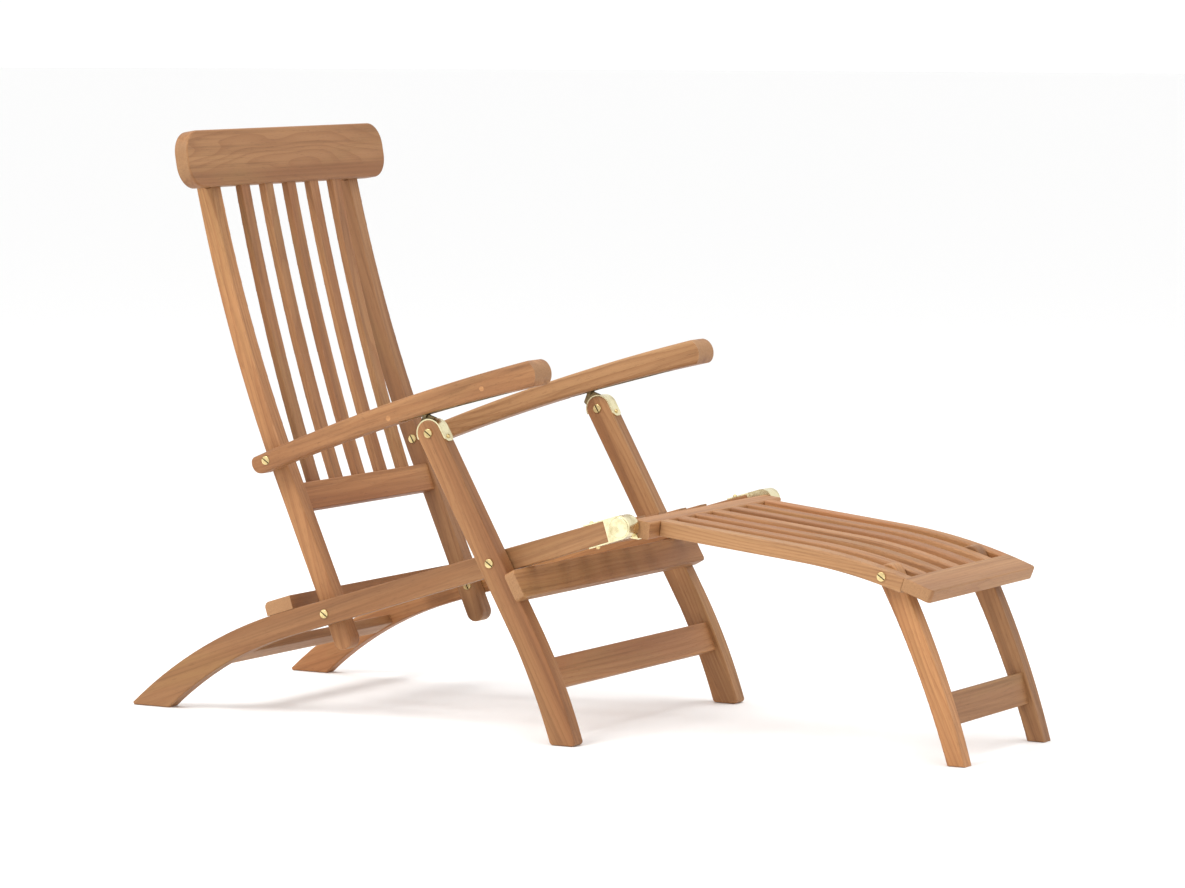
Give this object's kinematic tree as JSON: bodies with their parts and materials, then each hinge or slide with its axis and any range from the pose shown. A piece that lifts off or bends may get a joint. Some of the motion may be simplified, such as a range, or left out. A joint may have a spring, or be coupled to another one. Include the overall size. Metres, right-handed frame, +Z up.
{
  "type": "folding deck chair",
  "caption": "Folding slatted teak deck chair with a reclining back, swept arms and a hinged footrest on its own folding legs.",
  "frame": {"origin": "on the floor, under the middle of the overall length and width", "axes": "+X from the back towards the footrest, +Y to the sitter's left, +Z up"},
  "size_m": [1.4429, 0.595, 0.9334],
  "materials": {
    "teak": "oiled, satin",
    "teak_plug": "oiled, satin",
    "brass": "polished, lightly tarnished",
    "dark_brass": "tarnished"
  },
  "bodies": {
    "seat_frame": {"side_rail_left": "teak", "side_rail_right": "teak", "front_seat_rail": "teak", "lower_rear_rail": "teak", "rear_seat_rail": "teak", "seat_slat_1": "teak", "seat_slat_2": "teak", "seat_slat_3": "teak", "seat_slat_4": "teak", "seat_slat_5": "teak", "nose_cap_left": "brass", "nose_cap_right": "brass", "nose_cap_screws": "brass", "leg_pivot_plates": "brass"},
    "back_pivots": {"back_pivot_bolts": "brass", "back_pivot_washers": "brass"},
    "back": {"back_stile_left": "teak", "back_stile_right": "teak", "back_slat_1": "teak", "back_slat_2": "teak", "back_slat_3": "teak", "back_slat_4": "teak", "back_slat_5": "teak", "back_bottom_rail": "teak", "headrest": "teak", "headrest_screws": "brass"},
    "arm_pivots": {"arm_bolt_left": "brass", "arm_bolt_right": "brass"},
    "arms": {"arm_left": "teak", "arm_right": "teak", "arm_rack_left": "dark_brass", "arm_rack_right": "dark_brass", "arm_plugs_left": "teak_plug", "arm_plugs_right": "teak_plug"},
    "front_legs": {"front_leg_left": "teak", "front_leg_right": "teak", "leg_cap_left": "brass", "leg_cap_right": "brass", "arm_rest_bracket_left": "dark_brass", "arm_rest_bracket_right": "dark_brass", "upper_front_stretcher": "teak", "lower_front_stretcher": "teak", "leg_pivot_bolts": "brass", "leg_top_bolts": "brass", "leg_cap_screws": "brass"},
    "footrest": {"footrest_rail_left": "teak", "footrest_rail_right": "teak", "footrest_slat_1": "teak", "footrest_slat_2": "teak", "footrest_slat_3": "teak", "footrest_slat_4": "teak", "footrest_slat_5": "teak", "footrest_rear_rail": "teak", "footrest_front_board": "teak", "footrest_hinge_left": "brass", "footrest_hinge_right": "brass"},
    "footrest_legs": {"footrest_leg_left": "teak", "footrest_leg_right": "teak", "footrest_leg_stretcher": "teak", "footrest_leg_bolts": "brass"}
  },
  "joints": [
    {"name": "fold", "type": "hinge", "parent": "seat_frame", "child": "back_pivots", "pos_m": [-0.354, 0, 0.172], "axis": [0, 1, 0], "range_deg": [0, 75]},
    {"name": "recline", "type": "hinge", "parent": "back_pivots", "child": "back", "pos_m": [-0.354, 0, 0.172], "axis": [0, 1, 0], "range_deg": [-24, 0]},
    {"name": "arm_fold", "type": "hinge", "parent": "back", "child": "arm_pivots", "pos_m": [-0.4605, 0, 0.4115], "axis": [0, 1, 0], "range_deg": [-79, 0]},
    {"name": "arm_recline", "type": "hinge", "parent": "arm_pivots", "child": "arms", "pos_m": [-0.4605, 0, 0.4115], "axis": [0, 1, 0], "range_deg": [0, 19]},
    {"name": "leg_fold", "type": "hinge", "parent": "seat_frame", "child": "front_legs", "pos_m": [-0.0325, 0, 0.275], "axis": [0, 1, 0], "range_deg": [0, 92.5]},
    {"name": "footrest_hinge", "type": "hinge", "parent": "seat_frame", "child": "footrest", "pos_m": [0.179, 0, 0.34], "axis": [0, 1, 0], "range_deg": [0, 90]},
    {"name": "footrest_leg_hinge", "type": "hinge", "parent": "footrest", "child": "footrest_legs", "pos_m": [0.5935, 0, 0.2835], "axis": [0, 1, 0], "range_deg": [0, 112]}
  ],
  "couplings": [
    {"joint": "arm_fold", "follows": "fold", "ratio": -1.05},
    {"joint": "leg_fold", "follows": "fold", "ratio": 1.23},
    {"joint": "arm_recline", "follows": "recline", "ratio": -0.79}
  ]
}
